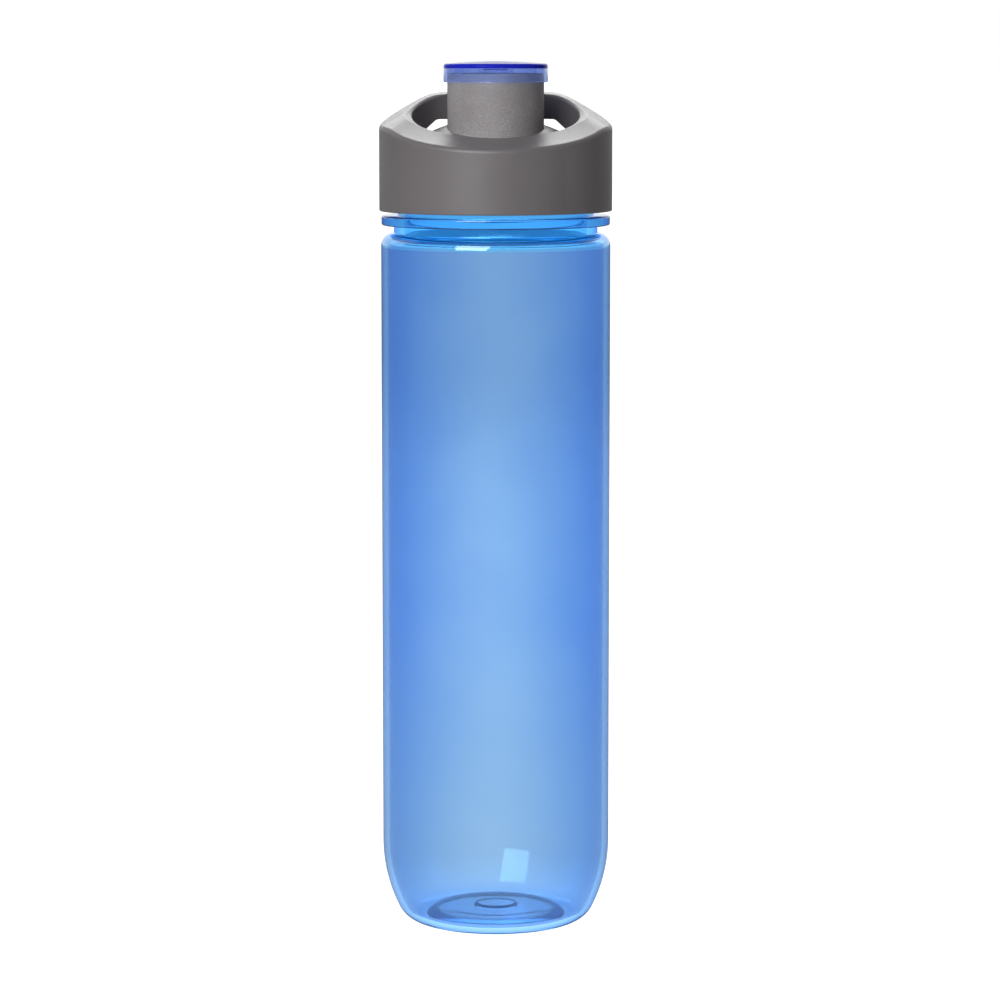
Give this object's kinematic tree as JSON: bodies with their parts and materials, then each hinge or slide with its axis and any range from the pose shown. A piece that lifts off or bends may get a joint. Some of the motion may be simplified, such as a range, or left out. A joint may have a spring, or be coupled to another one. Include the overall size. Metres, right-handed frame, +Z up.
{
  "type": "sports water bottle",
  "caption": "Clear blue wide-mouth sports bottle with a grey screw lid, a carry loop and a blue push-pull mouthpiece.",
  "frame": {"origin": "centre of the foot ring the bottle stands on", "axes": "+Z up along the bottle's axis; -Y is the front, +Y the side with the carry loop"},
  "size_m": [0.071, 0.071, 0.2651],
  "materials": {
    "clear_blue": "clear tinted copolyester, glossy",
    "grey_shell": "moulded polypropylene, fine matte texture",
    "grey_cup": "moulded polypropylene, fine spark-eroded texture",
    "blue_mouthpiece": "clear tinted plastic, glossy",
    "pale_valve": "natural polypropylene, satin",
    "silicone": "translucent white silicone, satin"
  },
  "bodies": {
    "bottle": {"bottle_body": "clear_blue"},
    "gasket": {"lid_gasket": "silicone"},
    "lid": {"lid_shell": "grey_shell", "threaded_cup": "grey_cup", "valve_stem": "pale_valve", "stem_seal": "silicone", "vent_valve": "silicone"},
    "mouthpiece": {"mouthpiece": "blue_mouthpiece", "mouthpiece_seal": "silicone"}
  },
  "joints": [
    {"name": "lid_lift", "type": "slide", "parent": "bottle", "child": "gasket", "axis": [0, 0, 1], "range_m": [0, 0.0201]},
    {"name": "lid_turn", "type": "hinge", "parent": "gasket", "child": "lid", "pos_m": [0, 0, 0.2325], "axis": [0, 0, 1], "range_deg": [0, 1440]},
    {"name": "mouthpiece_pull", "type": "slide", "parent": "lid", "child": "mouthpiece", "axis": [0, 0, 1], "range_m": [0, 0.006]}
  ],
  "couplings": [
    {"joint": "lid_lift", "follows": "lid_turn", "m_per_rad": 0.00079577}
  ]
}
